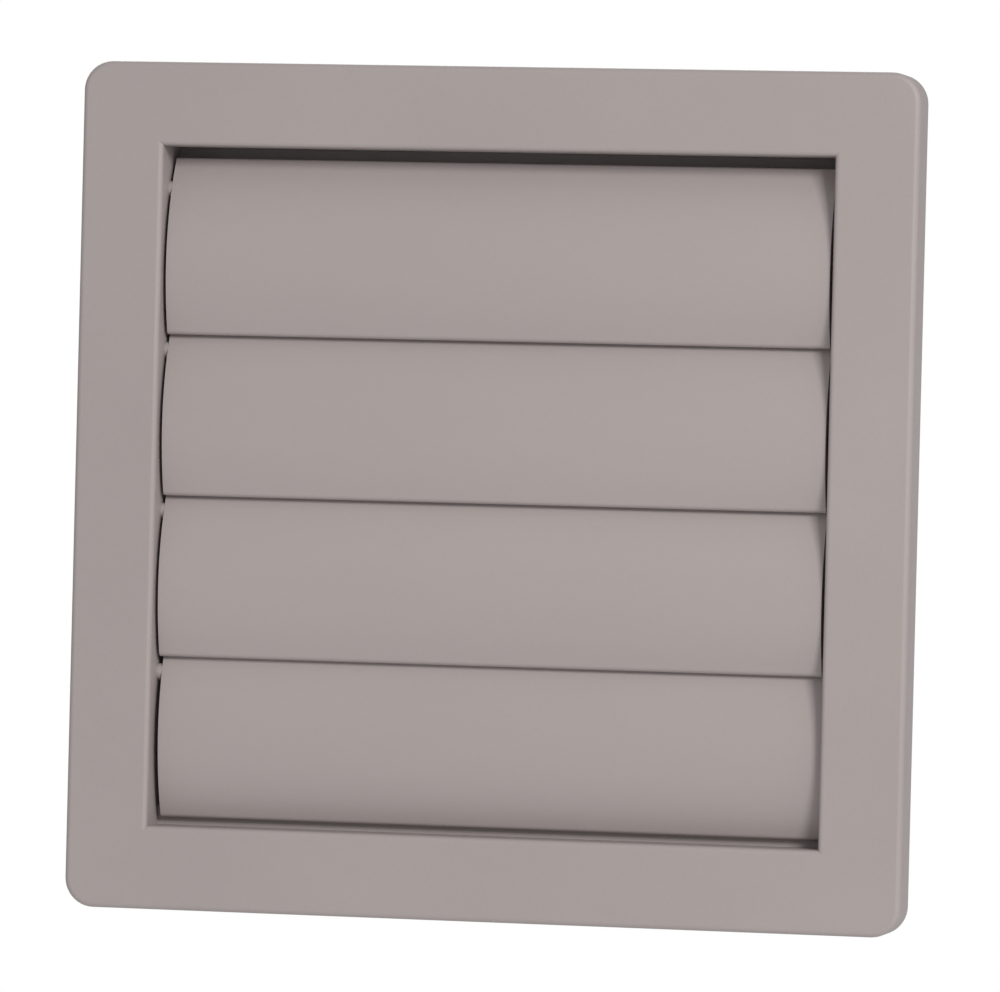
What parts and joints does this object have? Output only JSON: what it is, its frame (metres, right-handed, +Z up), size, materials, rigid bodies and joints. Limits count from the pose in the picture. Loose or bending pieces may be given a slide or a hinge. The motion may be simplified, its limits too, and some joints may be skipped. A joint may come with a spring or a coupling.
{
  "type": "louvred vent",
  "caption": "Square moulded wall vent with curved overlapping gravity louvres on pivot pins, snapped onto a wall plate with a round duct spigot.",
  "frame": {"origin": "on the duct's axis, at the wall's surface, in the middle of the four screw holes", "axes": "+Y into the wall along the duct, +Z up, +X to the right as seen from the front"},
  "size_m": [0.154, 0.0452, 0.154],
  "materials": {
    "cover_plastic": "warm grey, fine satin moulded texture",
    "louvre_plastic": "warm grey, smooth satin",
    "plate_plastic": "warm grey, plain moulded"
  },
  "bodies": {
    "vent": {"front_frame": "cover_plastic", "wall_plate": "plate_plastic"},
    "flap_1": {"louvre_1": "louvre_plastic"},
    "flap_2": {"louvre_2": "louvre_plastic"},
    "flap_3": {"louvre_3": "louvre_plastic"},
    "flap_4": {"louvre_4": "louvre_plastic"}
  },
  "joints": [
    {"name": "louvre_1_swing", "type": "hinge", "parent": "vent", "child": "flap_1", "pos_m": [0, -0.00901, 0.05405], "axis": [-1, 0, 0], "range_deg": [0, 76]},
    {"name": "louvre_2_swing", "type": "hinge", "parent": "vent", "child": "flap_2", "pos_m": [0, -0.00901, 0.02473], "axis": [-1, 0, 0], "range_deg": [0, 76]},
    {"name": "louvre_3_swing", "type": "hinge", "parent": "vent", "child": "flap_3", "pos_m": [0, -0.00901, -0.0046], "axis": [-1, 0, 0], "range_deg": [0, 76]},
    {"name": "louvre_4_swing", "type": "hinge", "parent": "vent", "child": "flap_4", "pos_m": [0, -0.00901, -0.03392], "axis": [-1, 0, 0], "range_deg": [0, 81.2]}
  ]
}
